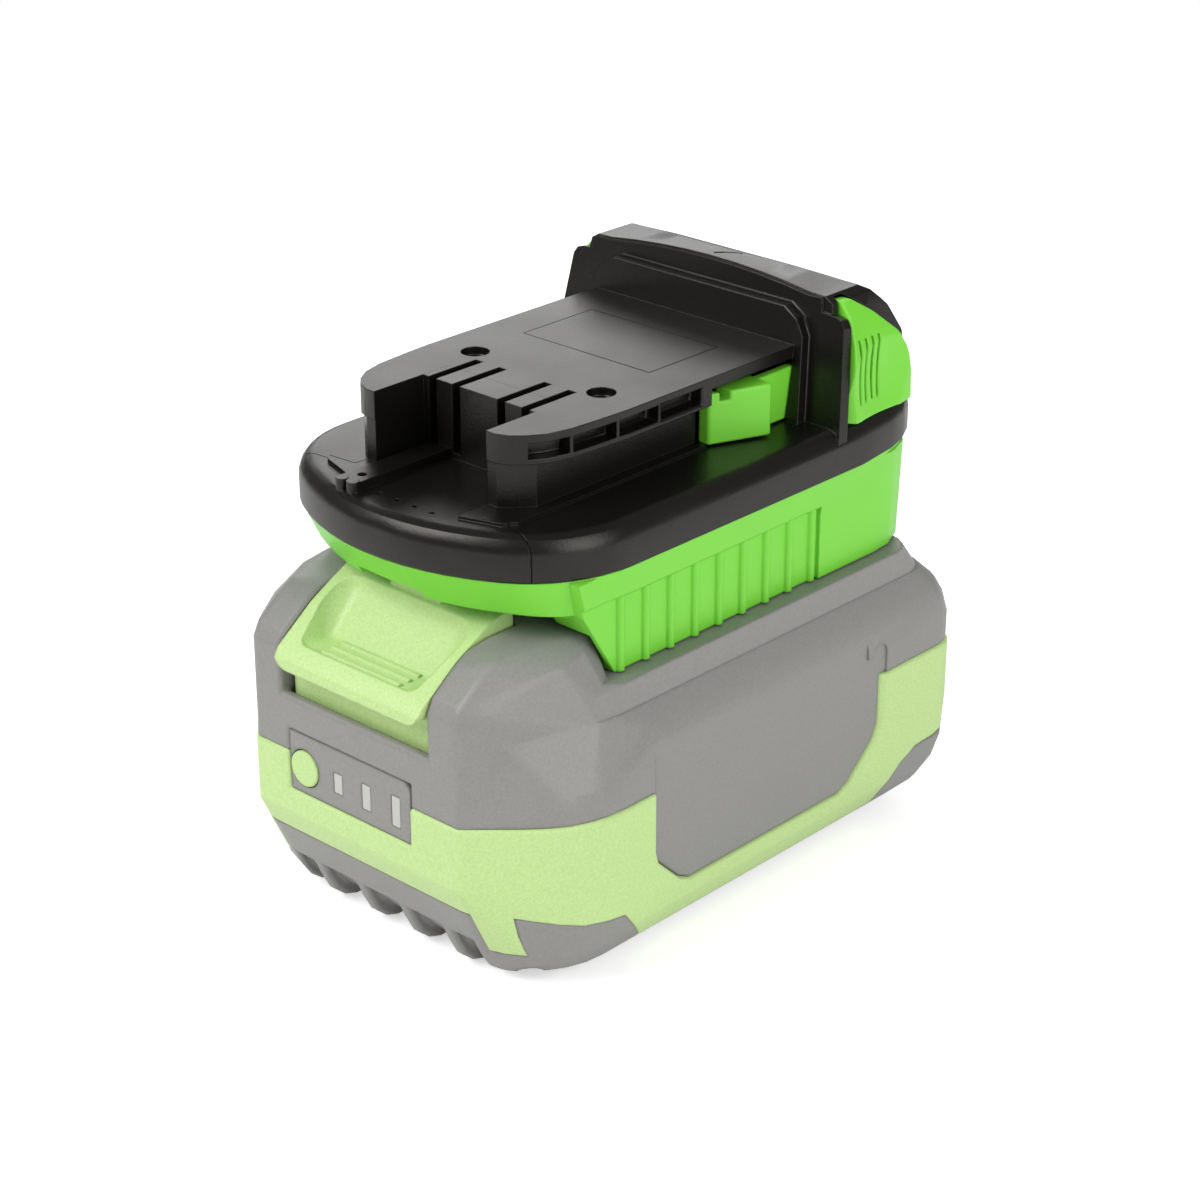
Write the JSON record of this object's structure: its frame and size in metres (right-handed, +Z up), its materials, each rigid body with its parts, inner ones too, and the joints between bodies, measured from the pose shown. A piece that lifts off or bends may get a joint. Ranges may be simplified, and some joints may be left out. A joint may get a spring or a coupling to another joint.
{
  "type": "power tool battery",
  "caption": "Slide-on power tool battery, grey with pale green bands and a charge gauge, with a black and green tool adapter docked on its rails",
  "frame": {"origin": "middle of the underside that the battery stands on", "axes": "+Z up, -Y the front with the latch and the charge gauge, +X to the right of the rear, towards the label side seen in the picture"},
  "size_m": [0.08, 0.1172, 0.104],
  "materials": {
    "grey_housing": "fine grain",
    "pale_green": "satin",
    "bright_green": "satin",
    "black_cover": "satin",
    "clear_white": "smooth",
    "board": "solder mask",
    "cell_sleeve": "smooth",
    "dark_plastic": "plain",
    "steel": "bright",
    "nickel": "bright",
    "contact_brass": "bright",
    "components": "plain"
  },
  "bodies": {
    "battery": {"lower_shell": "grey_housing", "upper_shell": "grey_housing", "side_band": "pale_green", "latch_springs": "steel", "gauge_panel": "grey_housing", "gauge_dome": "clear_white", "gauge_light_pipes": "clear_white", "gauge_board": "board", "cells_lower_row": "cell_sleeve", "cells_upper_row": "cell_sleeve", "cell_holder_left": "dark_plastic", "cell_holder_right": "dark_plastic", "nickel_strips_left": "nickel", "nickel_strips_right": "nickel", "battery_board": "board", "terminal_block": "dark_plastic", "battery_terminals": "contact_brass", "housing_screws": "steel"},
    "latch": {"battery_latch": "pale_green"},
    "gauge_key": {"gauge_button": "pale_green"},
    "adapter": {"adapter_base": "bright_green", "adapter_cover": "black_cover", "adapter_spring_left": "steel", "adapter_spring_right": "steel", "adapter_board": "board", "adapter_components": "components", "adapter_blades": "contact_brass", "tool_contacts": "contact_brass", "adapter_screws": "steel"},
    "side_button_left": {"adapter_latch_left": "bright_green"},
    "side_button_right": {"adapter_latch_right": "bright_green"}
  },
  "joints": [
    {"name": "adapter_slide", "type": "slide", "parent": "battery", "child": "adapter", "axis": [0, 1, 0], "range_m": [0, 0.075]},
    {"name": "battery_latch_press", "type": "slide", "parent": "battery", "child": "latch", "axis": [0, 0, -1], "range_m": [0, 0.004], "stiffness_N_per_m": 700, "springref_m": -0.003, "deforming": ["latch_springs"]},
    {"name": "gauge_button_press", "type": "slide", "parent": "battery", "child": "gauge_key", "axis": [0, 1, 0], "range_m": [0, 0.0006], "stiffness_N_per_m": 900, "springref_m": -0.0006, "deforming": ["gauge_dome"]},
    {"name": "adapter_button_right", "type": "slide", "parent": "adapter", "child": "side_button_right", "axis": [-1, 0, 0], "range_m": [0, 0.003], "stiffness_N_per_m": 800, "springref_m": -0.002, "deforming": ["adapter_spring_right"]},
    {"name": "adapter_button_left", "type": "slide", "parent": "adapter", "child": "side_button_left", "axis": [1, 0, 0], "range_m": [0, 0.003], "stiffness_N_per_m": 800, "springref_m": -0.002, "deforming": ["adapter_spring_left"]}
  ]
}
